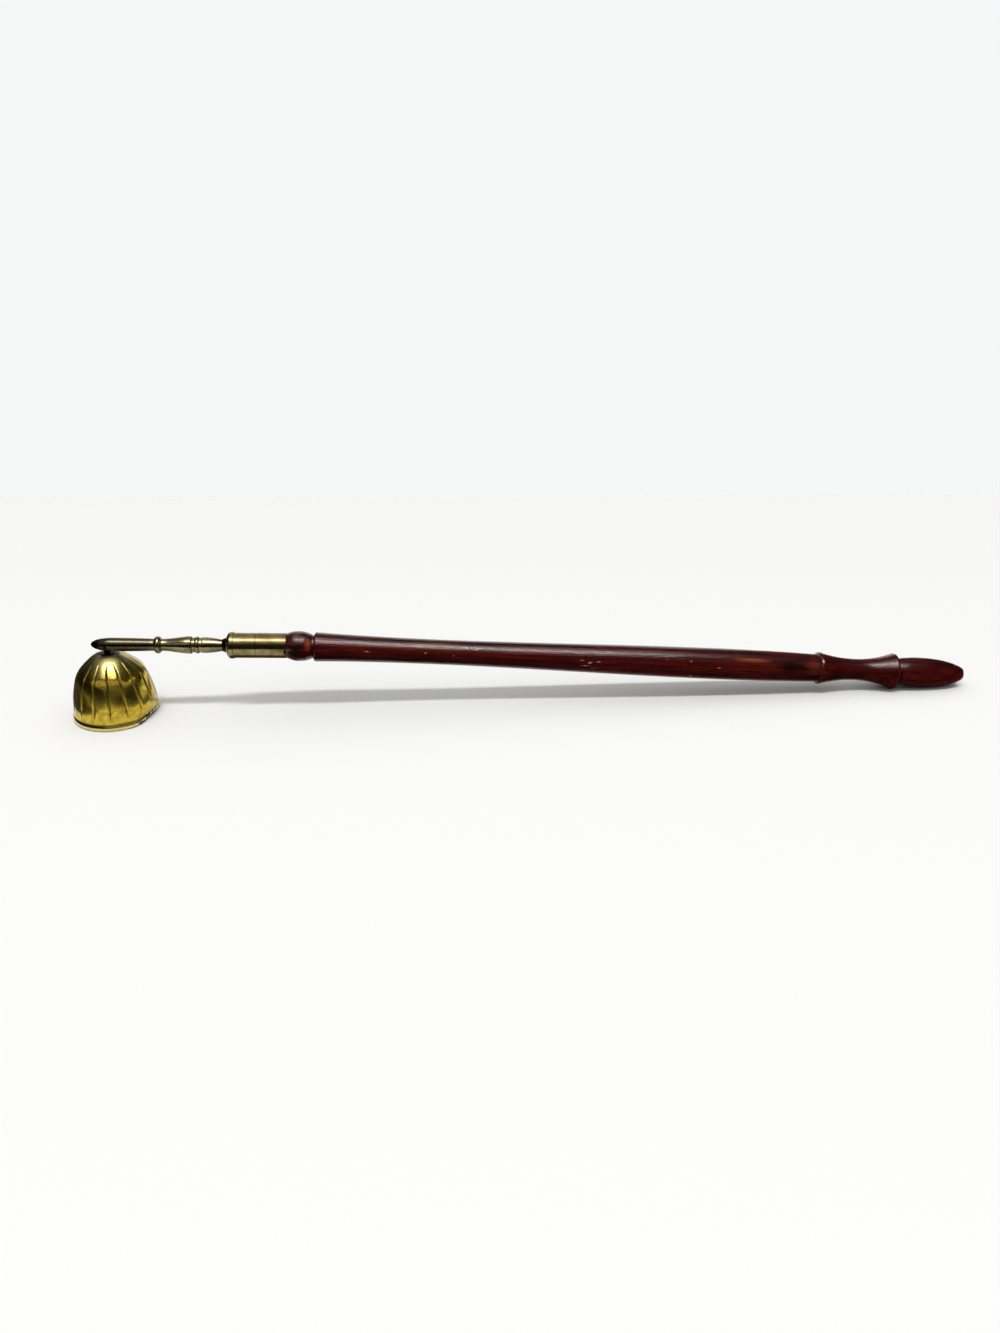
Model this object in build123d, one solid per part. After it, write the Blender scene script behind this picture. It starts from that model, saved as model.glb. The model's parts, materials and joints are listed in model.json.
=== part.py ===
from build123d import *
import os
from math import acos, asin, atan2, cos, degrees, hypot, radians, sin, sqrt, tan

# A candle snuffer: a fluted brass bell, hinged under the finger of a turned brass stem, on a long
# turned wooden handle. It lies as it does on a table, the bell's rim and the handle's rear collar
# on z = 0. +X runs along the handle to its knob, +Z is up, and the origin is the middle of the base.
# All lengths are in millimetres and all angles in degrees.

# Bell
bell_height = 23.2            # rim to the flat on the crown
rim_radius = 15.0             # over the rolled bead at the mouth
rim_bead_height = 2.0
skirt_radius = 14.6           # where the skirt leaves the bead
bell_wall = 0.8
crown_arc_radius = 12.8       # the round crown, seen from the side
crown_land_radius = 3.6       # flat on top that the lug's foot stands on

# Flutes of the bell
flute_count = 16
flute_depth = 0.38
flute_width = 1.0
flute_end_height = 4.3        # above the rim, so that a plain band is left below
flute_fade_angle = 52         # round the crown, from the skirt to where a flute runs out
flute_turn = -4.1             # of the whole bell on its shank
flute_lead_angle = 3          # overlap of the two cuts of a flute at the foot of the crown

# Lug, washer and pin of the hinge
crown_gap = 1.15              # between the crown's flat and the finger
eye_radius = 1.3
eye_thickness = 1.5
lug_neck_width = 1.9
foot_radius = 2.3
foot_height = 0.4
shank_radius = 0.8
washer_radius = 2.5
washer_thickness = 0.5
rivet_radius = 1.5
rivet_height = 0.7
pin_radius = 0.6
pivot_drop = 0.4              # pin below the finger's middle line
slot_length = 4.2

# Stem, from the finger's tip to its tang
tip_overhang = 5.2            # finger beyond the pin
finger_nose_length = 7.0
finger_length = 21.7
finger_radius = 2.37
finger_end_radius = 2.12
ring_width = 2.4
ring_radius = 3.05
waist_radius = 2.12           # just behind the ring
front_baluster_length = 10.1
front_baluster_radius = 3.08
baluster_lip = 0.5            # rounded rear edge of the front baluster
stem_groove_width = 0.9
stem_groove_radius = 2.6
bead_width = 1.6
bead_radius = 3.0
rear_baluster_length = 6.9
rear_baluster_radius = 2.8
rear_baluster_end_radius = 2.02
tang_radius = 1.5
tang_length = 7.5

# Ferrule in two halves
cone_length = 1.5
cone_front_radius = 2.15
cone_rear_radius = 2.75
flange_round = 1.2            # length of the flange's rounded front
flange_width = 1.4
flange_radius = 4.66
ferrule_radius = 4.42
front_ferrule_length = 7.6    # behind the flange
rear_ferrule_length = 10.6
ferrule_wall = 0.85
ferrule_chamfer = 0.12        # broken edges that show as the hairline
spigot_length = 3.6

# Handle, from the ferrule to the knob
set_angle = 2.3               # the stem's axis against the handle's, as photographed
tenon_gap = 0.6               # between the tenon's end and the spigot
ball_length = 8.7
ball_radius = 5.3
ball_end_radius = 4.3
handle_groove_width = 0.7
handle_groove_radius = 4.2
shoulder_chamfer = 0.6
shaft_length = 182.6
shaft_front_radius = 5.23
shaft_taper_radius = 4.57
shaft_waist_radius = 4.54
shaft_belly_radius = 5.66
shaft_rear_radius = 5.1
shaft_taper_share = 0.14
shaft_waist_share = 0.3
shaft_belly_share = 0.73
front_collar_radius = 5.94
front_collar_crest = 1.0      # rounding of its edge
neck_length = 28.2            # crest to crest of the two collars
neck_radius = 3.95
neck_waist_share = 0.5
rear_collar_radius = 6.6
rear_collar_crest = 1.3
knob_front_radius = 4.75
knob_swell_length = 9.1
knob_taper_length = 16.3
knob_radius = 5.5
knob_end_radius = 2.4

# Directions of the collars' rounded edges, as angles of their radius from +X
collar_slope_angle = 45       # plain slope before the front collar
knob_slope_angle = 62         # and behind the rear one
neck_front_angle = 74         # where the neck leaves the front collar's edge
neck_rear_angle = 110         # where it meets the rear collar's edge

# Clearances and the overrun of cuts
running_clearance = 0.05      # eye on pin
side_clearance = 0.15         # eye beside the slot's cheeks
eye_headroom = 0.25           # eye under the slot's roof
tight_clearance = 0.02        # pin in the cheeks
fit_clearance = 0.05          # tang, spigot and tenon in their bores
overrun = 1.0


def turned(outline):
    """Turns an outline, drawn as distance along X and radius along Y, about the X axis."""
    return revolve(make_face(outline), Axis.X)


def on_circle(centre, radius, angle):
    """Gives the point of a circle at an angle from the first axis."""
    return (centre[0] + radius * cos(radians(angle)), centre[1] + radius * sin(radians(angle)))


# Places worked out from the sizes

crown_centre_height = bell_height - sqrt(crown_arc_radius ** 2 - crown_land_radius ** 2)
skirt_drop = crown_centre_height - rim_bead_height
skirt_angle = degrees(acos(crown_arc_radius / hypot(skirt_radius, skirt_drop))
                      - atan2(skirt_drop, skirt_radius))
spring_point = on_circle((0, crown_centre_height), crown_arc_radius, skirt_angle)
inner_arc_radius = crown_arc_radius - bell_wall
inner_spring = on_circle((0, crown_centre_height), inner_arc_radius, skirt_angle)
inner_land_height = bell_height - bell_wall
inner_land_radius = sqrt(inner_arc_radius ** 2 - (inner_land_height - crown_centre_height) ** 2)

nose_share = 1 - tip_overhang / finger_nose_length
finger_pivot_radius = finger_radius * sqrt(1 - nose_share ** 2)
pivot_height = bell_height + crown_gap + finger_pivot_radius - pivot_drop

ring_start = finger_length
waist_start = ring_start + ring_width
front_lip_start = waist_start + front_baluster_length
front_groove_start = front_lip_start + baluster_lip
bead_start = front_groove_start + stem_groove_width
rear_groove_start = bead_start + bead_width
rear_baluster_start = rear_groove_start + stem_groove_width
stem_end = rear_baluster_start + rear_baluster_length

flange_start = stem_end + cone_length + flange_round
ferrule_start = flange_start + flange_width
seam = ferrule_start + front_ferrule_length
seat = seam + rear_ferrule_length
ferrule_bore_radius = ferrule_radius - ferrule_wall
tenon_length = rear_ferrule_length - spigot_length - tenon_gap

groove_start = ball_length
shaft_start = groove_start + handle_groove_width
shaft_end = shaft_start + shaft_length
slope_share = tan(radians(collar_slope_angle))
front_collar_rise = front_collar_radius - shaft_rear_radius
front_crest_lift = front_collar_crest * (1 - sin(radians(collar_slope_angle)))
front_crest_reach = front_collar_crest * cos(radians(collar_slope_angle))
front_crest = shaft_end + (front_collar_rise - front_crest_lift) / slope_share + front_crest_reach
rear_crest = front_crest + neck_length
rear_collar_fall = rear_collar_radius - knob_front_radius
knob_slope_share = tan(radians(knob_slope_angle))
rear_crest_lift = rear_collar_crest * (1 - sin(radians(knob_slope_angle)))
rear_crest_reach = rear_collar_crest * cos(radians(knob_slope_angle))
knob_start = rear_crest + rear_crest_reach + (rear_collar_fall - rear_crest_lift) / knob_slope_share
knob_middle = knob_start + knob_swell_length
handle_end = knob_middle + knob_taper_length

# The slope at which the handle lies, with the rim flat and the rear collar touching the table

pin_to_seat = seat - tip_overhang
bend = radians(set_angle)
crest_centre_radius = rear_collar_radius - rear_collar_crest
lie_along = pin_to_seat * cos(bend) + rear_crest
lie_across = crest_centre_radius - pin_to_seat * sin(bend) - pivot_drop * cos(bend)
lie_angle = (asin((pivot_height - rear_collar_crest) / hypot(lie_along, lie_across))
             - atan2(lie_across, lie_along))
handle_slope = degrees(lie_angle)
stem_slope = handle_slope - set_angle

stem_run = pin_to_seat * cos(radians(stem_slope)) + pivot_drop * sin(radians(stem_slope))
handle_run = handle_end * cos(lie_angle) + knob_end_radius * sin(lie_angle)
pivot_x = (rim_radius - stem_run - handle_run) / 2

# Stem parts are drawn along X from the finger's tip, handle parts along X from the ferrule's end

pivot_place = Pos(pivot_x, 0, pivot_height)
stem_place = pivot_place * Rot(0, stem_slope, 0) * Pos(-tip_overhang, 0, pivot_drop)
handle_place = stem_place * Pos(seat, 0, 0) * Rot(0, set_angle, 0)
bell_place = Pos(pivot_x, 0, 0)


def bell_body():
    """Dome of revolution: rolled bead, tapered skirt, round crown with a flat, and its hollow."""
    mouth_radius = inner_spring[0] + inner_spring[1] * tan(radians(skirt_angle))
    shank_hole_radius = shank_radius + tight_clearance
    crown_middle = (90 + skirt_angle) / 2
    outline = [
        Line((mouth_radius, 0), (skirt_radius, 0)),
        ThreePointArc((skirt_radius, 0), (rim_radius, rim_bead_height / 2), (skirt_radius, rim_bead_height)),
        Line((skirt_radius, rim_bead_height), spring_point),
        ThreePointArc(spring_point, on_circle((0, crown_centre_height), crown_arc_radius, crown_middle),
                      (crown_land_radius, bell_height)),
        Polyline((crown_land_radius, bell_height), (shank_hole_radius, bell_height),
                 (shank_hole_radius, inner_land_height), (inner_land_radius, inner_land_height)),
        ThreePointArc((inner_land_radius, inner_land_height),
                      on_circle((0, crown_centre_height), inner_arc_radius, crown_middle), inner_spring),
        Line(inner_spring, (mouth_radius, 0)),
    ]
    return revolve(Plane.XZ * make_face(outline), Axis.Z)


def flute_cutters():
    """V-shaped cutters along one meridian: straight down the skirt, and fading out round the crown."""
    normal = Vector(cos(radians(skirt_angle)), 0, sin(radians(skirt_angle)))
    down = Vector(sin(radians(skirt_angle)), 0, -cos(radians(skirt_angle)))
    floor = Vector(spring_point[0], 0, spring_point[1]) - normal * flute_depth
    height = flute_depth + overrun
    half_width = flute_width / 2 * height / flute_depth
    wedge = make_face(Polyline((0, 0), (half_width, height), (-half_width, height), (0, 0)))
    section = Plane(origin=floor, x_dir=(0, 1, 0), z_dir=down) * wedge
    skirt_run = (spring_point[1] - flute_end_height) / cos(radians(skirt_angle))
    straight = extrude(section, amount=skirt_run, dir=down)
    fade_share = 1 - cos(radians(flute_fade_angle))
    floor_shift = (flute_depth * (2 * crown_arc_radius - flute_depth)
                   / (2 * (crown_arc_radius * fade_share - flute_depth)))
    floor_radius = crown_arc_radius - flute_depth + floor_shift
    turn_axis = Axis(floor - normal * floor_radius, (0, -1, 0))
    fading = revolve(section.rotate(turn_axis, -flute_lead_angle), turn_axis, flute_lead_angle + flute_fade_angle)
    return [straight, fading]


def bell():
    """Spun bell with its flutes, turned a little on its shank."""
    flute_step = 360 / flute_count
    cutters = []
    for i in range(flute_count):
        turn = Rot(0, 0, (i + 1 / 2) * flute_step + flute_turn)
        cutters += [turn * cutter for cutter in flute_cutters()]
    return bell_place * (bell_body() - cutters)


def bell_lug():
    """Flat eye on a round foot, with a shank through the crown and a head peened over inside."""
    foot_base = bell_height - pivot_height
    foot_top = foot_base + foot_height
    head_top = inner_land_height - washer_thickness - pivot_height
    head_base = head_top - rivet_height
    head_arc_radius = (rivet_radius ** 2 + rivet_height ** 2) / (2 * rivet_height)
    head_arc_centre = (0, head_base + head_arc_radius)
    head_arc_angle = degrees(asin(rivet_radius / head_arc_radius))
    post = revolve(Plane.XZ * make_face([
        Polyline((0, foot_top), (foot_radius, foot_top), (foot_radius, foot_base), (shank_radius, foot_base),
                 (shank_radius, head_top), (rivet_radius, head_top)),
        ThreePointArc((rivet_radius, head_top),
                      on_circle(head_arc_centre, head_arc_radius, head_arc_angle / 2 - 90), (0, head_base)),
        Line((0, head_base), (0, foot_top)),
    ]), Axis.Z)
    lug_neck_length = foot_height / 2 - foot_top
    neck = Pos(0, 0, -lug_neck_length / 2) * Box(lug_neck_width, eye_thickness, lug_neck_length)
    eye = Rot(90, 0, 0) * Cylinder(eye_radius, eye_thickness)
    pin_hole = Rot(90, 0, 0) * Cylinder(pin_radius + running_clearance, eye_thickness + overrun)
    return pivot_place * (eye + neck + post - pin_hole)


def crown_washer():
    """Washer under the peened head, on the flat inside the crown."""
    disc = Cylinder(washer_radius, washer_thickness)
    hole = Cylinder(shank_radius + tight_clearance, washer_thickness + overrun)
    return bell_place * Pos(0, 0, inner_land_height - washer_thickness / 2) * (disc - hole)


def stem_turning():
    """The stem as it leaves the lathe: pointed finger, ring, two balusters, a bead and the tang."""
    ring_middle = ring_start + ring_width / 2
    bead_middle = bead_start + bead_width / 2
    tang_end = stem_end + tang_length
    return turned([
        EllipticalCenterArc((finger_nose_length, 0), finger_nose_length, finger_radius, 90, arc_size=90),
        TangentArc((finger_nose_length, finger_radius), (ring_start, finger_end_radius), tangent=(1, 0)),
        ThreePointArc((ring_start, finger_end_radius), (ring_middle, ring_radius), (waist_start, waist_radius)),
        Spline((waist_start, waist_radius), (front_lip_start, front_baluster_radius),
               tangents=[(1, 0), (1, 0)]),
        TangentArc((front_lip_start, front_baluster_radius), (front_groove_start, stem_groove_radius),
                   tangent=(1, 0)),
        Line((front_groove_start, stem_groove_radius), (bead_start, stem_groove_radius)),
        ThreePointArc((bead_start, stem_groove_radius), (bead_middle, bead_radius),
                      (rear_groove_start, stem_groove_radius)),
        Polyline((rear_groove_start, stem_groove_radius), (rear_baluster_start, stem_groove_radius),
                 (rear_baluster_start, rear_baluster_radius)),
        TangentArc((rear_baluster_start, rear_baluster_radius), (stem_end, rear_baluster_end_radius),
                   tangent=(1, 0)),
        Polyline((stem_end, rear_baluster_end_radius), (stem_end, tang_radius), (tang_end, tang_radius),
                 (tang_end, 0), (0, 0)),
    ])


def stem():
    """Stem with the slot under its finger and the cross hole for the pin."""
    slot_width = eye_thickness + 2 * side_clearance
    slot_roof = eye_radius + eye_headroom - pivot_drop
    slot_height = slot_roof + finger_radius + overrun
    slot = Pos(tip_overhang, 0, slot_roof - slot_height / 2) * Box(slot_length, slot_width, slot_height)
    pin_hole = Pos(tip_overhang, 0, -pivot_drop) * Rot(90, 0, 0) * Cylinder(
        pin_radius + tight_clearance, 2 * finger_radius + overrun)
    return stem_place * (stem_turning() - slot - pin_hole)


def pivot_pin():
    """Cross pin, its ends filed flush with the finger."""
    wire = Rot(90, 0, 0) * Cylinder(pin_radius, 2 * finger_radius + overrun)
    return stem_place * ((Pos(tip_overhang, 0, -pivot_drop) * wire) & stem_turning())


def front_ferrule():
    """Socket with conical nose and flange; its spigot screws into the rear half."""
    cone_end = stem_end + cone_length
    spigot_radius = ferrule_bore_radius - fit_clearance
    spigot_end = seam + spigot_length
    socket_end = stem_end + tang_length + fit_clearance
    body = turned([
        Polyline((spigot_end, 0), (stem_end, 0), (stem_end, cone_front_radius), (cone_end, cone_rear_radius)),
        TangentArc((cone_end, cone_rear_radius), (flange_start, flange_radius), tangent=(0, 1)),
        Polyline((flange_start, flange_radius), (ferrule_start, flange_radius), (ferrule_start, ferrule_radius),
                 (seam - ferrule_chamfer, ferrule_radius), (seam, ferrule_radius - ferrule_chamfer),
                 (seam, spigot_radius), (spigot_end, spigot_radius), (spigot_end, 0)),
    ])
    socket_length = socket_end - stem_end
    socket = Pos(stem_end + socket_length / 2, 0, 0) * Rot(0, 90, 0) * Cylinder(
        tang_radius + fit_clearance, socket_length)
    return stem_place * (body - socket)


def rear_ferrule():
    """Tube between the front half's spigot and the handle's tenon."""
    return stem_place * turned([Polyline(
        (seam, ferrule_bore_radius), (seam, ferrule_radius - ferrule_chamfer),
        (seam + ferrule_chamfer, ferrule_radius), (seat - ferrule_chamfer, ferrule_radius),
        (seat, ferrule_radius - ferrule_chamfer), (seat, ferrule_bore_radius), (seam, ferrule_bore_radius))])


def handle():
    """One wooden turning, its seat cut square to the stem's axis, with the tenon set at that angle."""
    seat_allowance = ball_end_radius * tan(bend)
    shoulder_end = shaft_start + shoulder_chamfer
    shaft_run = shaft_end - shoulder_end
    front_centre = (front_crest, front_collar_radius - front_collar_crest)
    rear_centre = (rear_crest, crest_centre_radius)
    front_rise = on_circle(front_centre, front_collar_crest, 180 - collar_slope_angle)
    front_top = (front_crest, front_collar_radius)
    neck_front = on_circle(front_centre, front_collar_crest, neck_front_angle)
    neck_rear = on_circle(rear_centre, rear_collar_crest, neck_rear_angle)
    rear_top = (rear_crest, rear_collar_radius)
    rear_fall = on_circle(rear_centre, rear_collar_crest, knob_slope_angle)
    knob_half_length = knob_taper_length / sqrt(1 - (knob_end_radius / knob_radius) ** 2)
    knob_end_angle = degrees(asin(knob_end_radius / knob_radius))
    turning = turned([
        Polyline((handle_end, 0), (-seat_allowance, 0), (-seat_allowance, ball_end_radius),
                 (0, ball_end_radius)),
        ThreePointArc((0, ball_end_radius), (ball_length / 2, ball_radius), (ball_length, ball_end_radius)),
        Polyline((ball_length, ball_end_radius), (ball_length, handle_groove_radius),
                 (shaft_start, handle_groove_radius), (shaft_start, shaft_front_radius - shoulder_chamfer),
                 (shoulder_end, shaft_front_radius)),
        Spline((shoulder_end, shaft_front_radius),
               (shoulder_end + shaft_taper_share * shaft_run, shaft_taper_radius),
               (shoulder_end + shaft_waist_share * shaft_run, shaft_waist_radius),
               (shoulder_end + shaft_belly_share * shaft_run, shaft_belly_radius),
               (shaft_end, shaft_rear_radius)),
        Line((shaft_end, shaft_rear_radius), front_rise),
        ThreePointArc(front_rise, front_top, neck_front),
        Spline(neck_front, (front_crest + neck_waist_share * neck_length, neck_radius), neck_rear,
               tangents=[(sin(radians(neck_front_angle)), -cos(radians(neck_front_angle))),
                         (sin(radians(neck_rear_angle)), -cos(radians(neck_rear_angle)))]),
        ThreePointArc(neck_rear, rear_top, rear_fall),
        Line(rear_fall, (knob_start, knob_front_radius)),
        TangentArc((knob_middle, knob_radius), (knob_start, knob_front_radius), tangent=(-1, 0)),
        EllipticalCenterArc((knob_middle, 0), knob_half_length, knob_radius, knob_end_angle,
                            arc_size=90 - knob_end_angle),
        Line((handle_end, knob_end_radius), (handle_end, 0)),
    ])
    square = Rot(0, -set_angle, 0)
    waste_size = 2 * ball_radius
    waste = square * Pos(-waste_size / 2, 0, 0) * Box(waste_size, waste_size, waste_size)
    root = ball_length / 2
    tenon = square * Pos((root - tenon_length) / 2, 0, 0) * Rot(0, 90, 0) * Cylinder(
        ferrule_bore_radius - fit_clearance, tenon_length + root)
    return handle_place * (turning - waste + tenon)


pieces = {
    "bell": bell,
    "bell_lug": bell_lug,
    "crown_washer": crown_washer,
    "pivot_pin": pivot_pin,
    "stem": stem,
    "front_ferrule": front_ferrule,
    "rear_ferrule": rear_ferrule,
    "handle": handle,
}

os.makedirs("parts", exist_ok=True)
for node, make in pieces.items():
    export_step(make(), f"parts/{node}.step")

print(f"pivot at x {pivot_x:.4f} z {pivot_height:.4f}, stem slope {stem_slope:.4f}, handle slope {handle_slope:.4f}")
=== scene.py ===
import json
from math import acos, asin, atan, atan2, cos, degrees, hypot, pi, radians, sin, sqrt, tan

import bmesh
import bpy
import numpy as np
from mathutils import Matrix, Vector, noise


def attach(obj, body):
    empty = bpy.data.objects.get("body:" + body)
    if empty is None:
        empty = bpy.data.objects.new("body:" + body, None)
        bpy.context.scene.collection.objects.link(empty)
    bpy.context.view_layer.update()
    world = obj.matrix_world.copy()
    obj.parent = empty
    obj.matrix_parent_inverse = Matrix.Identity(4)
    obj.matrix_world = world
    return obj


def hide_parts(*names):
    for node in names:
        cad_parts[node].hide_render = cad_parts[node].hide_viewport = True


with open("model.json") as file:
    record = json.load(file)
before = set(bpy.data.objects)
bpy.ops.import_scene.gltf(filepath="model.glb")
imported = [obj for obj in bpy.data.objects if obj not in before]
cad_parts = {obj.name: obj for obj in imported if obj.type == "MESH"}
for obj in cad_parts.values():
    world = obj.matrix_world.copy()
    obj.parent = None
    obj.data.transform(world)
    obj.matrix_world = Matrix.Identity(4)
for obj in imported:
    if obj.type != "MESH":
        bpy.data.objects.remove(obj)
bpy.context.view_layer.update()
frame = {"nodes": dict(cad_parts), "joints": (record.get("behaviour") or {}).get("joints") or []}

# The looks of an old candle snuffer: a fluted brass bell hinged under a turned brass stem, in a
# two-part brass ferrule on a long turned wooden handle. Sizes are in millimetres and angles in degrees.
mm = 0.001
turned_sides = 96
sharp_angle = 32
edge_break = 0.1              # a sharp turned edge, taken off
relief_samples = 4000
brass_relief_reach = 1.2      # length along a piece over which its mean radius is taken
wood_relief_reach = 2.0

# Bell
bell_height = 23.2
rim_radius = 15.0
rim_bead_height = 2.0
skirt_radius = 14.6
bell_wall = 0.8
crown_arc_radius = 12.8
crown_land_radius = 3.6
shank_hole_radius = 0.82
bead_line_depth = 0.16        # fine turned line between the bead and the skirt
bead_line_height = 0.5
bead_line_reach_share = 0.6
bead_line_grime_share = 0.8

# Flutes of the bell, and the panels between them
flute_count = 16
flute_depth = 0.38
flute_half_width = 0.62
flute_end_height = 4.3
flute_runout = 2.5            # length over which a flute's lower end rises to the skirt
flute_fade_angle = 52
flute_turn = -4.1             # the bell's turn on its shank
flute_section_power = 1.3
flute_end_width_share = 0.4
flute_reach_share = 1.15
flute_shares = (0, 0.12, 0.25, 0.4, 0.56, 0.74, 0.92, 1.12)
panel_shares = (0.25, 0.5, 0.75, 1)

# Dent in the rim on the side of the handle, and the spinner's slight unevenness
dent_azimuth = -14
dent_spread = 40
dent_depth = 2.2
dent_height = 7.0
bell_ripple = 0.05
bell_ripple_size = 5.0
swell_end_angle = 18          # where the skirt, which swells a hair, runs into the crown
shoulder_flat = 0.45          # how far the crown's shoulder lies inside its arc

# Hinge
eye_radius = 1.3
eye_thickness = 1.5
side_clearance = 0.15
eye_headroom = 0.25
pivot_drop = 0.4
slot_length = 4.2

# Stem
tip_overhang = 5.2
finger_nose_length = 7
finger_length = 21.7
finger_radius = 2.37
finger_end_radius = 2.12
ring_width = 2.4
ring_radius = 3.05
waist_radius = 2.12
front_baluster_length = 10.1
front_baluster_radius = 3.08
baluster_lip = 0.5
stem_groove_width = 0.9
stem_groove_radius = 2.6
bead_width = 1.6
bead_radius = 3
rear_baluster_length = 6.9
rear_baluster_radius = 2.8
rear_baluster_end_radius = 2.02
baluster_edge_length = 0.2    # rounded front edge of the rear baluster
baluster_edge_step = 0.05
baluster_edge_drop = 0.08
tang_radius = 1.5
tang_length = 7.5

# Ferrule
cone_length = 1.5
cone_front_radius = 2.15
cone_rear_radius = 2.75
flange_round = 1.2
flange_width = 1.4
flange_radius = 4.66
ferrule_radius = 4.42
front_ferrule_length = 7.6
rear_ferrule_length = 10.6
ferrule_wall = 0.85
ferrule_chamfer = 0.12
spigot_length = 3.6
fit_clearance = 0.05

# Handle
stem_slope = 2.2601
set_angle = 2.3
tenon_gap = 0.6
ball_length = 8.7
ball_radius = 5.3
ball_end_radius = 4.3
handle_groove_width = 0.7
handle_groove_radius = 4.2
shoulder_chamfer = 0.6
shaft_length = 182.6
shaft_front_radius = 5.23
shaft_taper_radius = 4.57
shaft_waist_radius = 4.54
shaft_belly_radius = 5.66
shaft_rear_radius = 5.1
shaft_taper_share = 0.14
shaft_waist_share = 0.3
shaft_belly_share = 0.73
shaft_slope_shares = (-0.0407, -0.0125, 0.0083, 0.007, -0.035)  # rise per length at its five points
front_collar_radius = 5.94
front_collar_crest = 1.0
neck_length = 28.2
neck_radius = 3.95
neck_waist_share = 0.5
rear_collar_radius = 6.6
rear_collar_crest = 1.3
knob_front_radius = 4.75
knob_swell_length = 9.1
knob_taper_length = 16.3
knob_radius = 5.5
knob_end_radius = 2.4
collar_slope_angle = 45
knob_slope_angle = 62
neck_front_angle = 74
neck_rear_angle = 110
wood_ripple = 0.05
wood_ripple_size = 14.0

# Places along the stem and the handle, worked out from the sizes
ring_start = finger_length
waist_start = ring_start + ring_width
front_lip_start = waist_start + front_baluster_length
front_groove_start = front_lip_start + baluster_lip
bead_start = front_groove_start + stem_groove_width
rear_groove_start = bead_start + bead_width
rear_baluster_start = rear_groove_start + stem_groove_width
stem_end = rear_baluster_start + rear_baluster_length
cone_end = stem_end + cone_length
flange_start = cone_end + flange_round
ferrule_start = flange_start + flange_width
seam = ferrule_start + front_ferrule_length
seat = seam + rear_ferrule_length
ferrule_bore_radius = ferrule_radius - ferrule_wall
tenon_length = rear_ferrule_length - spigot_length - tenon_gap

shaft_start = ball_length + handle_groove_width
shaft_end = shaft_start + shaft_length
slope_share = tan(radians(collar_slope_angle))
front_crest_lift = front_collar_crest * (1 - sin(radians(collar_slope_angle)))
front_crest_reach = front_collar_crest * cos(radians(collar_slope_angle))
front_rise = front_collar_radius - shaft_rear_radius - front_crest_lift
front_crest = shaft_end + front_rise / slope_share + front_crest_reach
rear_crest = front_crest + neck_length
knob_slope_share = tan(radians(knob_slope_angle))
rear_crest_lift = rear_collar_crest * (1 - sin(radians(knob_slope_angle)))
rear_crest_reach = rear_collar_crest * cos(radians(knob_slope_angle))
rear_fall = rear_collar_radius - knob_front_radius - rear_crest_lift
knob_start = rear_crest + rear_crest_reach + rear_fall / knob_slope_share
knob_middle = knob_start + knob_swell_length
handle_end = knob_middle + knob_taper_length

crown_height = bell_height - sqrt(crown_arc_radius ** 2 - crown_land_radius ** 2)
skirt_drop = crown_height - rim_bead_height
skirt_reach = hypot(skirt_radius, skirt_drop)
skirt_angle = degrees(acos(crown_arc_radius / skirt_reach) - atan2(skirt_drop, skirt_radius))
fade_height = crown_height + crown_arc_radius * sin(radians(skirt_angle))
swell_end = Vector((crown_arc_radius * cos(radians(swell_end_angle)),
                    crown_height + crown_arc_radius * sin(radians(swell_end_angle))))
swell_away = Vector((cos(radians(swell_end_angle)), sin(radians(swell_end_angle))))
swell_fall = Vector((skirt_radius, rim_bead_height)) - swell_end
swell_radius = -swell_fall.length_squared / (2 * swell_fall.dot(swell_away))
swell_centre = swell_end - swell_radius * swell_away

pivot = Vector(frame["joints"][0]["pos_m"])
stem_place = (Matrix.Translation(pivot) @ Matrix.Rotation(radians(stem_slope), 4, "Y")
              @ Matrix.Translation(Vector((-tip_overhang, 0, pivot_drop)) * mm))
handle_place = (stem_place @ Matrix.Translation(Vector((seat, 0, 0)) * mm)
                @ Matrix.Rotation(radians(set_angle), 4, "Y"))
bell_place = Matrix.Translation((pivot.x, 0, 0))


# Outlines, as distance along the axis and radius

def on_circle(centre, radius, angle):
    """Point of a circle at an angle from the first axis."""
    return (centre[0] + radius * cos(radians(angle)), centre[1] + radius * sin(radians(angle)))


def arc(centre, radius, first, last, steps):
    """Points of an arc between two angles."""
    return [on_circle(centre, radius, first + (last - first) * i / steps) for i in range(steps + 1)]


def arc_through(start, top, end, steps):
    """Points of the arc through three points, from left to right over its top."""
    rows = np.array([[top[0] - start[0], top[1] - start[1]], [end[0] - start[0], end[1] - start[1]]])
    halves = (rows ** 2).sum(1) / 2
    offset = np.linalg.solve(rows, halves)
    centre = (start[0] + offset[0], start[1] + offset[1])
    first = degrees(atan2(start[1] - centre[1], start[0] - centre[0]))
    last = degrees(atan2(end[1] - centre[1], end[0] - centre[0]))
    return arc(centre, hypot(*offset), first, last, steps)


def curve(points, slopes, steps):
    """Points of a smooth curve through the given points, with the given slope at each."""
    made = [points[0]]
    for (x0, r0), (x1, r1), s0, s1 in zip(points, points[1:], slopes, slopes[1:]):
        run = x1 - x0
        for i in range(1, steps + 1):
            t = i / steps
            rise = (r0 * (1 + 2 * t) * (1 - t) ** 2 + s0 * run * t * (1 - t) ** 2
                    + r1 * t * t * (3 - 2 * t) + s1 * run * t * t * (t - 1))
            made.append((x0 + run * t, rise))
    return made


def straight(start, end, steps):
    """Evenly spaced points of a straight line, without its first point."""
    return [(start[0] + (end[0] - start[0]) * i / steps, start[1] + (end[1] - start[1]) * i / steps)
            for i in range(1, steps + 1)]


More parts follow.
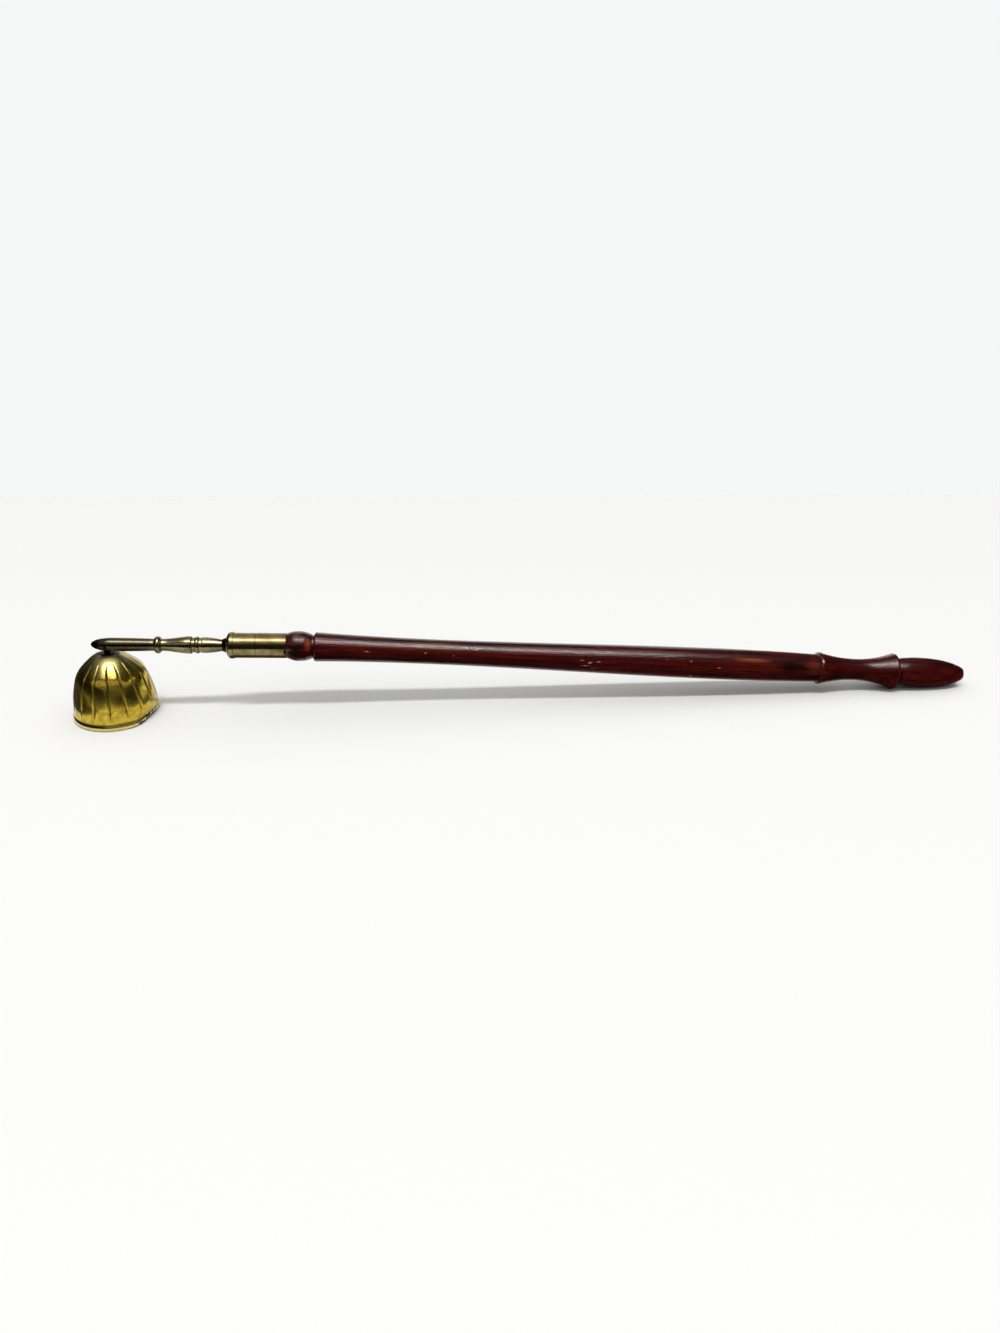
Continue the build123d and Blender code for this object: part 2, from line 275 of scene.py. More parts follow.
def relief_of(outline, reach):
    """How far each point stands above or below the mean radius near it, for wear and grime."""
    along = np.maximum.accumulate(np.array([p[0] for p in outline]))
    radius = np.array([p[1] for p in outline])
    grid = np.linspace(along[0], along[-1], relief_samples)
    level = np.interp(grid, along, radius)
    width = max(int(reach / (grid[1] - grid[0])), 1)
    padded = np.pad(level, width, mode="edge")
    mean = np.convolve(padded, np.ones(2 * width + 1) / (2 * width + 1), mode="valid")
    return radius - np.interp(along, grid, mean)


# Meshes

def store(piece, spots, relief):
    """Stores on each point its place in the piece's own millimetres and its relief, for the finishes."""
    kept = piece.data.attributes.new("spot", "FLOAT_VECTOR", "POINT")
    kept.data.foreach_set("vector", np.asarray(spots, np.float32).ravel())
    kept = piece.data.attributes.new("relief", "FLOAT", "POINT")
    kept.data.foreach_set("value", np.asarray(relief, np.float32))


def new_piece(name, spots, faces, place):
    """Makes a smooth mesh piece from points in its own millimetres, with sharp edges kept."""
    mesh = bpy.data.meshes.new(name)
    mesh.from_pydata([place @ (Vector(s) * mm) for s in spots], [], faces)
    shell = bmesh.new()
    shell.from_mesh(mesh)
    bmesh.ops.recalc_face_normals(shell, faces=shell.faces)
    shell.to_mesh(mesh)
    shell.free()
    mesh.shade_smooth()
    mesh.set_sharp_from_angle(angle=radians(sharp_angle))
    piece = bpy.data.objects.new(name, mesh)
    bpy.context.scene.collection.objects.link(piece)
    return piece


def ring_faces(rings, closed):
    """Faces between rings of point numbers, where a ring of one point is a tip."""
    faces = []
    pairs = list(zip(rings, rings[1:]))
    if closed:
        pairs.append((rings[-1], rings[0]))
    for ring, following in pairs:
        sides = max(len(ring), len(following))
        for j in range(sides):
            k = (j + 1) % sides
            if len(ring) == 1:
                faces.append((ring[0], following[k], following[j]))
            elif len(following) == 1:
                faces.append((ring[j], ring[k], following[0]))
            else:
                faces.append((ring[j], ring[k], following[k], following[j]))
    return faces


def turned(name, outline, place, closed=False, reach=brass_relief_reach, shape=None):
    """Turns an outline about the X axis; shape may move each point afterwards."""
    spots = []
    rings = []
    relief = []
    for (along, radius), level in zip(outline, relief_of(outline, reach)):
        sides = turned_sides if radius > 0 else 1
        rings.append(list(range(len(spots), len(spots) + sides)))
        for j in range(sides):
            turn = 2 * pi * j / sides
            spot = Vector((along, radius * cos(turn), radius * sin(turn)))
            spots.append(shape(spot) if shape else spot)
            relief.append(level)
    piece = new_piece(name, spots, ring_faces(rings, closed), place)
    store(piece, spots, relief)
    return piece


def cut_away(piece, cutter, place, outline, reach=brass_relief_reach):
    """Cuts a closed shape out of a turned piece and stores its points anew."""
    step = piece.modifiers.new("cut", "BOOLEAN")
    step.operation = "DIFFERENCE"
    step.solver = "EXACT"
    step.object = cutter
    shown = piece.evaluated_get(bpy.context.evaluated_depsgraph_get())
    mesh = bpy.data.meshes.new_from_object(shown)
    piece.modifiers.clear()
    bpy.data.objects.remove(cutter)
    for kept in ("spot", "relief"):
        if kept in mesh.attributes:
            mesh.attributes.remove(mesh.attributes[kept])
    mesh.set_sharp_from_angle(angle=radians(sharp_angle))
    piece.data = mesh
    back = place.inverted()
    spots = [back @ v.co / mm for v in mesh.vertices]
    along = np.maximum.accumulate(np.array([p[0] for p in outline]))
    store(piece, spots, np.interp([s.x for s in spots], along, relief_of(outline, reach)))


def block(name, centre, size, place):
    """Closed block for a cut."""
    corners = [Vector((x, y, z)) for x in (-1, 1) for y in (-1, 1) for z in (-1, 1)]
    spots = [Vector(centre) + c * Vector(size) / 2 for c in corners]
    faces = [(0, 1, 3, 2), (4, 6, 7, 5), (0, 4, 5, 1), (2, 3, 7, 6), (0, 2, 6, 4), (1, 5, 7, 3)]
    return new_piece(name, spots, faces, place)


# Materials

def linear(colour):
    """Turns an sRGB hex colour into the linear values that sockets take."""
    parts = [int(colour[i:i + 2], 16) / 255 for i in (1, 3, 5)]
    return tuple(p / 12.92 if p <= 0.04045 else ((p + 0.055) / 1.055) ** 2.4 for p in parts) + (1,)


def add(tree, kind, inputs=None, **settings):
    """Adds a node with its settings; an input is a number, a colour or the socket that feeds it."""
    made = tree.nodes.new(kind)
    for name, value in settings.items():
        setattr(made, name, value)
    for name, value in (inputs or {}).items():
        if isinstance(value, bpy.types.NodeSocket):
            tree.links.new(value, made.inputs[name])
        else:
            made.inputs[name].default_value = value
    return made


def new_finish(name):
    """An empty material and its node tree."""
    finish = bpy.data.materials.new(name)
    finish.use_nodes = True
    finish.node_tree.nodes.clear()
    return finish, finish.node_tree


def coats_of_colour(tree, colour, coats):
    """Lays colours over one another in order, each by its own share."""
    for share, shade in coats:
        mixed = add(tree, "ShaderNodeMix", {0: share, 6: colour, 7: linear(shade)}, data_type="RGBA")
        colour = mixed.outputs[2]
    return colour


def mark_share(tree, spot, centre, reach, edge):
    """Soft-edged oval mark about a point, 1 inside and 0 outside; reach is its half size each way, and
    edge the share of that where it starts to fade, less than 0 for one that is nowhere whole."""
    away = add(tree, "ShaderNodeVectorMath", {0: spot, 1: centre}, operation="SUBTRACT")
    scaled = add(tree, "ShaderNodeVectorMath", {0: away.outputs[0], 1: [1 / r for r in reach]},
                 operation="MULTIPLY")
    far = add(tree, "ShaderNodeVectorMath", {0: scaled.outputs[0]}, operation="LENGTH")
    share = add(tree, "ShaderNodeMapRange", {"Value": far.outputs["Value"], "From Min": 1.0,
                                             "From Max": edge}, interpolation_type="SMOOTHSTEP")
    return share.outputs[0]


def aged_brass(name, bright, dull, grime, cloud_size, roughness, hollow_depth, hollow_share, pit_share,
               lacquer=0.0, rubbed=(), soil_and_shade_marks=(), underside_tarnish_and_shade_share=0.0, own_spot=True):
    """Old brass under what is left of its clear lacquer: cloudy tarnish over a bright metal, matt brown
    grime in its hollows and pits, dark places that are partly dirt and soot and partly painted shade and dark
    reflections, places laid over in another colour with some roughness (on the bell these paler places are
    painted highlights), and a whiter second gloss from the lacquer."""
    finish, tree = new_finish(name)
    if own_spot:
        spot = add(tree, "ShaderNodeAttribute", attribute_name="spot").outputs["Vector"]
    else:
        metres = add(tree, "ShaderNodeTexCoord").outputs["Object"]
        spot = add(tree, "ShaderNodeVectorMath", {0: metres, "Scale": 1 / mm}, operation="SCALE").outputs[0]
    clouds = add(tree, "ShaderNodeTexNoise", {"Vector": spot, "Scale": 1 / cloud_size, "Detail": 4.0,
                                              "Roughness": 0.6, "Distortion": 0.3}).outputs[0]
    dullness = add(tree, "ShaderNodeMapRange", {"Value": clouds, "From Min": 0.36, "From Max": 0.66},
                   interpolation_type="SMOOTHSTEP").outputs[0]
    pits = add(tree, "ShaderNodeTexNoise", {"Vector": spot, "Scale": 1 / pit_size, "Detail": 3.0}).outputs[0]
    soiled_and_shaded = add(tree, "ShaderNodeMapRange", {"Value": pits, "From Min": 0.6, "From Max": 0.76,
                                              "To Max": pit_share}).outputs[0]
    broken = add(tree, "ShaderNodeMapRange", {"Value": pits, "From Min": 0.42, "From Max": 0.52}).outputs[0]
    relief = add(tree, "ShaderNodeAttribute", attribute_name="relief").outputs["Fac"]
    hollow = add(tree, "ShaderNodeMapRange", {"Value": relief, "From Min": -0.5 * hollow_depth,
                                              "From Max": -hollow_depth, "To Max": hollow_share}).outputs[0]
    soiled_and_shaded = add(tree, "ShaderNodeMath", {0: soiled_and_shaded, 1: hollow}, operation="MAXIMUM").outputs[0]
    # Darker underside, partly tarnish and partly painted shade.
    if underside_tarnish_and_shade_share:
        upward = add(tree, "ShaderNodeSeparateXYZ", {0: spot}).outputs["Z"]
        under = add(tree, "ShaderNodeMapRange", {"Value": upward, "From Min": underside_darkening_start,
                                                 "From Max": underside_darkening_end, "To Max": underside_tarnish_and_shade_share}).outputs[0]
        soiled_and_shaded = add(tree, "ShaderNodeMath", {0: soiled_and_shaded, 1: under}, operation="MAXIMUM").outputs[0]
    # Dark places: real dirt and soot, and also painted shade, shadows and dark reflections.
    for centre, reach, edge, in_chips in soil_and_shade_marks:
        share = mark_share(tree, spot, centre, reach, edge)
        if in_chips:
            share = add(tree, "ShaderNodeMath", {0: share, 1: broken}, operation="MULTIPLY").outputs[0]
        soiled_and_shaded = add(tree, "ShaderNodeMath", {0: soiled_and_shaded, 1: share}, operation="MAXIMUM").outputs[0]
    coats = [(dullness, dull)]
    mattness = 0.0
    # Places laid over in another colour, with some roughness; the bell's paler ones are painted highlights.
    for centre, reach, edge, shade, matt in rubbed:
        share = mark_share(tree, spot, centre, reach, edge)
        coats.append((share, shade))
        mattness = add(tree, "ShaderNodeMath", {0: share, 1: matt, 2: mattness},
                       operation="MULTIPLY_ADD").outputs[0]
    coats.append((soiled_and_shaded, grime))
    colour = coats_of_colour(tree, linear(bright), coats)
    gloss = add(tree, "ShaderNodeMapRange", {"Value": clouds, "From Min": 0.3, "From Max": 0.7,
                                             "To Min": roughness, "To Max": roughness + 0.08}).outputs[0]
    gloss = add(tree, "ShaderNodeMath", {0: soiled_and_shaded, 1: 0.3, 2: gloss}, operation="MULTIPLY_ADD").outputs[0]
    gloss = add(tree, "ShaderNodeMath", {0: gloss, 1: mattness}, operation="ADD").outputs[0]
    dimple = add(tree, "ShaderNodeBump", {"Height": pits, "Strength": 0.3, "Distance": pit_depth * mm})
    shader = add(tree, "ShaderNodeBsdfPrincipled", {"Base Color": colour, "Metallic": 1.0, "Roughness": gloss,
                                                    "Normal": dimple.outputs[0], "Coat Weight": lacquer,
                                                    "Coat Roughness": 0.22, "Coat IOR": 1.5})
    add(tree, "ShaderNodeOutputMaterial", {"Surface": shader.outputs[0]})
    return finish


def on_handle(along, angle, radius):
    """Point on the handle, its angle counted upward from the side that faces -Y."""
    return (along, -radius * cos(radians(angle)), radius * sin(radians(angle)))


def grain(tree, spot, length, width, detail):
    """Noise drawn out along the handle, one figure being so long and so wide."""
    drawn = add(tree, "ShaderNodeVectorMath", {0: spot, 1: (1 / length, 1 / width, 1 / width)},
                operation="MULTIPLY").outputs[0]
    return add(tree, "ShaderNodeTexNoise", {"Vector": drawn, "Scale": 1.0, "Detail": detail,
                                            "Roughness": 0.6}).outputs[0]


def lacquered_rosewood():
    """Turned rosewood under a thin dark lacquer: lengthwise red and black streaks, a long soft pinkish
    gloss, orange wood where the lacquer is rubbed through, and pale scuffs."""
    finish, tree = new_finish("lacquered_rosewood")
    spot = add(tree, "ShaderNodeAttribute", attribute_name="spot").outputs["Vector"]
    relief = add(tree, "ShaderNodeAttribute", attribute_name="relief").outputs["Fac"]
    streaks = grain(tree, spot, streak_length, streak_width, 4.0)
    veins = grain(tree, spot, vein_length, vein_width, 3.0)
    pores = grain(tree, spot, pore_length, pore_width, 2.0)
    scratches = grain(tree, spot, scratch_length, scratch_width, 3.0)
    tone = add(tree, "ShaderNodeMapRange", {"Value": streaks, "From Min": 0.36, "From Max": 0.64})
    redder = add(tree, "ShaderNodeMapRange", {"Value": veins, "From Min": 0.52, "From Max": 0.72,
                                             "To Max": 0.6})
    darker = add(tree, "ShaderNodeMapRange", {"Value": veins, "From Min": 0.47, "From Max": 0.32,
                                             "To Max": 0.85})
    filled = add(tree, "ShaderNodeMapRange", {"Value": pores, "From Min": 0.55, "From Max": 0.68,
                                              "To Max": 0.7})
    rubbed = add(tree, "ShaderNodeMapRange", {"Value": relief, "From Min": 0.3, "From Max": 1.1,
                                              "To Max": 0.5})
    packed = add(tree, "ShaderNodeMapRange", {"Value": relief, "From Min": -0.15, "From Max": -0.6,
                                              "To Max": 0.8})
    coats = [(tone.outputs[0], "#4a0705"), (redder.outputs[0], "#6a160a"), (darker.outputs[0], "#180101"),
             (filled.outputs[0], "#150101"), (rubbed.outputs[0], "#74200e"), (packed.outputs[0], "#140202")]
    for along, angle, radius, half_length, half_height, most, shade in stains:
        reach = (half_length, half_height, half_height)
        share = mark_share(tree, spot, on_handle(along, angle, radius), reach, 0.2)
        uneven = add(tree, "ShaderNodeMapRange", {"Value": streaks, "From Min": 0.3, "From Max": 0.55,
                                                  "To Min": 0.3 * most, "To Max": most})
        uneven = add(tree, "ShaderNodeMath", {0: share, 1: uneven.outputs[0]}, operation="MULTIPLY")
        coats.append((uneven.outputs[0], shade))
    for along, angle, radius, half_length, half_height, cover, shade in scuffs:
        reach = (half_length, half_height, half_height)
        share = mark_share(tree, spot, on_handle(along, angle, radius), reach, 0.35)
        pale = add(tree, "ShaderNodeMapRange", {"Value": scratches, "From Min": 1 - cover,
                                                "From Max": 1.05 - cover})
        pale = add(tree, "ShaderNodeMath", {0: share, 1: pale.outputs[0]}, operation="MULTIPLY")
        coats.append((pale.outputs[0], shade))
    colour = coats_of_colour(tree, linear("#240202"), coats)
    gloss = add(tree, "ShaderNodeMapRange", {"Value": streaks, "From Min": 0.3, "From Max": 0.7,
                                             "To Min": 0.16, "To Max": 0.26}).outputs[0]
    raised = add(tree, "ShaderNodeBump", {"Height": pores, "Strength": 1.0, "Distance": pore_depth * mm})
    shader = add(tree, "ShaderNodeBsdfPrincipled", {"Base Color": colour, "Roughness": gloss, "IOR": 1.5,
                                                    "Specular IOR Level": 0.45,
                                                    "Specular Tint": linear("#ffd8d2"),
                                                    "Normal": raised.outputs[0], "Coat Weight": 0.8,
                                                    "Coat Roughness": 0.1, "Coat IOR": 1.5,
                                                    "Coat Normal": raised.outputs[0]})
    add(tree, "ShaderNodeOutputMaterial", {"Surface": shader.outputs[0]})
    return finish


def matt_white():
    """Matt white table top, plain."""
    finish, tree = new_finish("matt_white_table")
    shader = add(tree, "ShaderNodeBsdfDiffuse", {"Color": linear("#f4f4f3")})
    add(tree, "ShaderNodeOutputMaterial", {"Surface": shader.outputs[0]})
    return finish


def even_card(name, level):
    """Evenly glowing card for reflections."""
    finish, tree = new_finish(name)
    glow = add(tree, "ShaderNodeEmission", {"Color": (level, level, level, 1)})
    add(tree, "ShaderNodeOutputMaterial", {"Surface": glow.outputs[0]})
    return finish


# Pits and pores are drawn coarser than the real ones, which would be lost at this distance
pit_size = 1.1
pit_depth = 0.05
pore_length = 7.0
pore_width = 0.42
pore_depth = 0.08
streak_length = 26.0
streak_width = 1.1
vein_length = 60.0
vein_width = 3.2
scratch_length = 1.3
scratch_width = 0.55

# Darker underside of the stem, partly tarnish that polishing missed and partly painted shade, as heights from
# its axis
underside_darkening_start = 0.8
underside_darkening_end = -0.4

# Stains and worn places of the handle: along, angle, radius, half length, half height, most, colour
stains = [
    (181.3, 28, 5.2, 7.5, 2.6, 1.0, "#0e0202"),
    (181.5, 22, 5.3, 5.5, 2.4, 1.0, "#060101"),
    (166.6, 42, 5.4, 9.0, 1.2, 0.8, "#98421f"),
    (50.1, 56, 4.6, 16.0, 2.2, 0.7, "#5c4a30"),
    (7.4, 36, 5.0, 1.5, 3.2, 0.9, "#8a4218"),
    (7.8, -40, 4.8, 1.4, 3.0, 0.8, "#6e4019"),
    # Olive patch under the front collar, partly wear and partly a painted reflection of the table.
    (193.0, -60, 5.6, 2.4, 4.0, 1.0, "#6d5834"),
    (190.0, 30, 5.4, 4.0, 4.5, 0.3, "#7c3a1c"),
    (3.2, 10, 5.2, 3.4, 5.0, 0.9, "#120101"),
]
# Pale scuffs and flecks: along, angle, radius, half length, half height, cover, colour
scuffs = [
    (104.2, 15, 5.0, 1.3, 0.3, 0.6, "#937a72"),
    (105.6, -7, 5.05, 2.2, 0.35, 0.55, "#8a7068"),
    (107.4, 6, 5.05, 1.2, 0.5, 0.6, "#a0877e"),
    (109.0, -16, 5.05, 1.8, 0.3, 0.55, "#8a7068"),
    (110.7, 12, 5.1, 1.6, 0.4, 0.55, "#937a72"),
    (65.3, 47, 4.5, 4.5, 0.8, 0.5, "#b49a90"),
    (28.1, 12.5, 4.7, 1.3, 0.25, 0.6, "#9a7a70"),
    (119.1, 30, 5.1, 0.45, 0.3, 0.8, "#9a7a70"),
    (135.1, 33, 5.4, 0.45, 0.3, 0.8, "#9a7a70"),
    (143.9, 29, 5.5, 0.45, 0.45, 0.8, "#9a7a70"),
    (154.3, 9, 5.5, 0.8, 0.4, 0.8, "#9a7a70"),
    (144.4, -30, 5.5, 0.5, 0.5, 0.8, "#9a7a70"),
    (48.6, 17, 4.5, 0.6, 0.3, 0.8, "#9a7a70"),
    (58.5, 10, 4.4, 0.4, 0.25, 0.8, "#9a7a70"),
    # The two pale marks on the front collar's crest and in the fillet before it are painted highlights.
    (193.3, 50, 5.9, 0.5, 1.0, 0.7, "#a88a78"),
    (191.6, 74, 4.7, 0.8, 0.4, 0.7, "#a88a78"),
]

# Spun bell: olive clouds of tarnish over bright yellow brass, brown flutes and a chipped rim. Painted on it
# are the finger's shadow and dark reflection round the hinge, a contact shadow under the rim, a dark
# reflection on one flank, and paler highlights on the crown and the rim bead. A soiled or shaded place is its
# centre, its reach, its edge and whether only chips show it; a highlight place has a colour and some added
# roughness instead.
chip_centre = (12.0, -5.2, 0.9)
chip_reach = (6.5, 9.0, 2.4)
# Painted shadow and dark reflection of the finger on the crown, round the hinge:
crown_finger_shadow_reach = (5.2, 2.7, 1.5)
# Painted contact shadow along the foot of the rim:
rim_contact_shadow_reach = (40.0, 40.0, 0.35)
# Painted dark reflection on the left flank:
flank_dark_reflection_centre = (-13.5, -3.5, 13.5)
flank_dark_reflection_reach = (6.0, 8.0, 8.0)
# Paler crown, a painted highlight, made a little rougher:
crown_highlight_reach = (14.0, 14.0, 11.0)
bell_soil_and_shade = [
    (chip_centre, chip_reach, 0.5, True),
    ((0, 0, bell_height), crown_finger_shadow_reach, 0.6, False),
    ((0, 0, 0), rim_contact_shadow_reach, 0.4, False),
    (flank_dark_reflection_centre, flank_dark_reflection_reach, -0.6, False),
]
# Brighter rim bead, a painted highlight:
bead_highlight_reach = (40.0, 40.0, 1.2)
bell_painted_highlights = [((0, 0, bell_height), crown_highlight_reach, 0.3, "#c9bb7c", 0.15),
             ((0, 0, rim_bead_height / 2), bead_highlight_reach, 0.5, "#d8c878", 0.0)]
bell_brass = aged_brass("spun_brass_lacquered", bright="#d0b43c", dull="#a6891f", grime="#1e1506",
                        cloud_size=2.0, roughness=0.13, hollow_depth=0.3, hollow_share=0.45,
                        pit_share=0.25, lacquer=0.35, rubbed=bell_painted_highlights, soil_and_shade_marks=bell_soil_and_shade)
# Turned rod: greyer and duller, its tip darker, its underside darker, partly tarnish and partly painted shade
tip_darkening_reach = (6.4, 3.8, 3.8)
finger_smoke_reach = (finger_length + ring_width, 9.0, 9.0)
stem_brass = aged_brass("turned_brass_dulled", bright="#b8ad85", dull="#968b65", grime="#080502",
                        cloud_size=4.0, roughness=0.12, hollow_depth=0.35, hollow_share=0.8,
                        pit_share=0.12, rubbed=[((0, 0, 0), finger_smoke_reach, 0.85, "#665f49", 0.0)],
                        soil_and_shade_marks=[((0, 0, 0), tip_darkening_reach, 0.5, False)], underside_tarnish_and_shade_share=0.45)
# Drawn tube, buffed: pale olive gold, its nose cone black, partly packed dirt and partly painted shade in the
# recess behind the stem
cone_middle = (stem_end + cone_length / 2, 0, 0)
cone_dirt_and_shade_reach = (2.5, 4.0, 4.0)
ferrule_brass = aged_brass("drawn_brass_buffed", bright="#9c8b60", dull="#7c6d44", grime="#060402",
                           cloud_size=5.0, roughness=0.16, hollow_depth=0.35, hollow_share=0.8,
                           pit_share=0.2, lacquer=0.2,
                           soil_and_shade_marks=[(cone_middle, cone_dirt_and_shade_reach, 0.75, False)])
# Filed hinge parts: nearly black, partly tarnish and partly painted shade of the crevice under the finger
hinge_brass_tarnish_and_shade = aged_brass("filed_brass_tarnish_and_shade", bright="#241c10", dull="#150f08", grime="#0a0704",
                         cloud_size=2.0, roughness=0.4, hollow_depth=0.35, hollow_share=0.8,
                         pit_share=0.3, own_spot=False)
handle_wood = lacquered_rosewood()


# Pieces

def dress(piece, body, slot_name, finish, *nodes):
    """Gives a piece its finish, hangs it on the body it moves with, and hides the solids it stands for."""
    piece.data.materials.clear()
    piece.data.materials.append(finish)
    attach(piece, body)
    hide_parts(*nodes)


def skirt_lean(height):
    """How far the skirt leans inward at a height, in degrees."""
    return degrees(asin((height - swell_centre[1]) / swell_radius))


def crown_arc(land_angle, steps):
    """Points of the crown from the skirt to its land, its shoulder a little flat."""
    points = []
    for i in range(steps + 1):
        flat = shoulder_flat * sin(pi * i / steps) ** 2
        angle = swell_end_angle + (land_angle - swell_end_angle) * i / steps
        points.append(on_circle((0, crown_height), crown_arc_radius - flat, angle))
    return points


def bell_outline():
    """Half section of the bell as radius and height, from the mouth over the crown and back inside."""
    inner_arc_radius = crown_arc_radius - bell_wall
    inner_spring = on_circle((0, crown_height), inner_arc_radius, skirt_angle)
    mouth_radius = inner_spring[0] + inner_spring[1] * tan(radians(skirt_angle))
    inner_land_height = bell_height - bell_wall
    inner_land_radius = sqrt(inner_arc_radius ** 2 - (inner_land_height - crown_height) ** 2)
    land_angle = degrees(acos(crown_land_radius / crown_arc_radius))
    inner_land_angle = degrees(acos(inner_land_radius / inner_arc_radius))
    bead_top = (rim_radius, rim_bead_height / 2)
    bead = arc_through((skirt_radius, 0), bead_top, (skirt_radius, rim_bead_height), 14)
    line = [(skirt_radius - bead_line_depth, rim_bead_height + bead_line_height / 2)]
    skirt_start_angle = skirt_lean(rim_bead_height + bead_line_height)
    outside = (straight((mouth_radius, 0), (skirt_radius, 0), 3)[:-1] + bead + line
               + arc(swell_centre, swell_radius, skirt_start_angle, swell_end_angle, 36)
               + crown_arc(land_angle, 44)[1:])
    inside = ([(shank_hole_radius, bell_height), (shank_hole_radius, inner_land_height),
               (inner_land_radius, inner_land_height)]
              + arc((0, crown_height), inner_arc_radius, inner_land_angle, skirt_angle, 30)[1:]
              + straight(inner_spring, (mouth_radius, 0), 10))
    return outside, inside


def flute_level(radius, height, azimuth):
    """Depth of the flutes at a point of the outside, from nothing to a whole one."""
    step = 360 / flute_count
    off = abs(((azimuth - flute_turn) / step) % 1 - 1 / 2) * radians(step) * radius
    if height >= fade_height:
        rise = degrees(atan2(height - crown_height, radius)) - skirt_angle
        depth_share = 1 - (1 - cos(radians(rise))) / (1 - cos(radians(flute_fade_angle)))
    else:
        depth_share = (height - flute_end_height) / flute_runout
    depth_share = min(max(depth_share, 0), 1)
    if depth_share == 0:
        return 0
    width_share = flute_end_width_share + (1 - flute_end_width_share) * depth_share
    return depth_share * max(0, 1 - off / (flute_half_width * width_share)) ** flute_section_power


def rim_dent(height, azimuth):
    """Share of the dent at a point of the bell."""
    across = max(0, 1 - ((azimuth - dent_azimuth + 180) % 360 - 180) ** 2 / dent_spread ** 2)
    upward = max(0, 1 - height / dent_height)
    return across ** 2 * upward ** 2


def bell_azimuths():
    """Directions round the bell, close together at each flute."""
    step = 360 / flute_count
    reach = degrees(flute_half_width / crown_arc_radius) * flute_reach_share
    near = [s * reach for s in flute_shares]
    far = [near[-1] + (step / 2 - near[-1]) * s for s in panel_shares]
    half = near + far
    offsets = [-a for a in reversed(half[1:-1])] + half
    return [(i + 1 / 2) * step + flute_turn + a for i in range(flute_count) for a in offsets]


def make_bell():
    """The fluted bell, its rim dented on the handle's side, hollow inside."""
    outside, inside = bell_outline()
    azimuths = bell_azimuths()
    line_height = rim_bead_height + bead_line_height / 2
    line_reach = bead_line_height * bead_line_reach_share
    spots = []
    relief = []
    rings = []
    for number, (radius, height) in enumerate(outside + inside):
        rings.append(list(range(len(spots), len(spots) + len(azimuths))))
        is_outside = number < len(outside)
        for azimuth in azimuths:
            level = 0
            if is_outside and height > flute_end_height:
                level = flute_level(radius, height, azimuth)
            turn = radians(azimuth)
            spot = Vector((radius * cos(turn), radius * sin(turn), height)) / bell_ripple_size
            ripple = 0
            if height > 0 and radius > crown_land_radius:
                ripple = bell_ripple * (noise.noise(spot) - 1) / 2
            dent = dent_depth * rim_dent(height, azimuth)
            inward = level * flute_depth - ripple
            lean = atan2(height - crown_height, radius)
            if height < swell_end[1]:
                lean = radians(skirt_lean(height))
            if not is_outside:
                inward = 0
            around = radius - inward * cos(lean) - dent
            sink = inward * sin(lean) if height > rim_bead_height else 0
            spots.append(Vector((around * cos(turn), around * sin(turn), height - sink)))
            in_line = is_outside and abs(height - line_height) < line_reach
            relief.append(-flute_depth * (level + bead_line_grime_share * in_line))
    piece = new_piece("fluted_bell", spots, ring_faces(rings, True), bell_place)
    store(piece, spots, relief)
    return piece


def stem_outline():
    """Pointed finger, ring, two balusters, a bead between two grooves, and the tang."""
    nose = [(finger_nose_length * (1 - cos(radians(a))), finger_radius * sin(radians(a)))
            for a in range(0, 91, 5)]
    ring_middle = ring_start + ring_width / 2
    bead_middle = bead_start + bead_width / 2
    finger_slope = 2 * (finger_end_radius - finger_radius) / (finger_length - finger_nose_length)
    baluster_slope = 2 * (rear_baluster_end_radius - rear_baluster_radius) / rear_baluster_length
    return (nose
            + curve([(finger_nose_length, finger_radius), (ring_start, finger_end_radius)],
                    [0, finger_slope], 26)[1:]
            + arc_through((ring_start, finger_end_radius), (ring_middle, ring_radius),
                          (waist_start, waist_radius), 16)[1:]
            + curve([(waist_start, waist_radius), (front_lip_start, front_baluster_radius)], [0, 0], 30)[1:]
            + curve([(front_lip_start, front_baluster_radius), (front_groove_start, stem_groove_radius)],
                    [0, -2], 6)[1:]
            + straight((front_groove_start, stem_groove_radius), (bead_start, stem_groove_radius), 3)
            + arc_through((bead_start, stem_groove_radius), (bead_middle, bead_radius),
                          (rear_groove_start, stem_groove_radius), 12)[1:]
            + straight((rear_groove_start, stem_groove_radius), (rear_baluster_start, stem_groove_radius), 3)
            + [(rear_baluster_start + baluster_edge_step, rear_baluster_radius - baluster_edge_drop)]
            + curve([(rear_baluster_start + baluster_edge_length, rear_baluster_radius),
                     (stem_end, rear_baluster_end_radius)], [0, baluster_slope], 20)
            + [(stem_end, tang_radius), (stem_end + tang_length, tang_radius), (stem_end + tang_length, 0)])


def make_stem():
    """Turned stem with the slot for the bell's eye."""
    piece = turned("turned_stem", stem_outline(), stem_place)
    roof = eye_radius + eye_headroom - pivot_drop
    depth = roof + 2 * finger_radius
    width = eye_thickness + 2 * side_clearance
    slot = block("slot", (tip_overhang, 0, roof - depth / 2), (slot_length, width, depth), stem_place)
    cut_away(piece, slot, stem_place, stem_outline())
    return piece


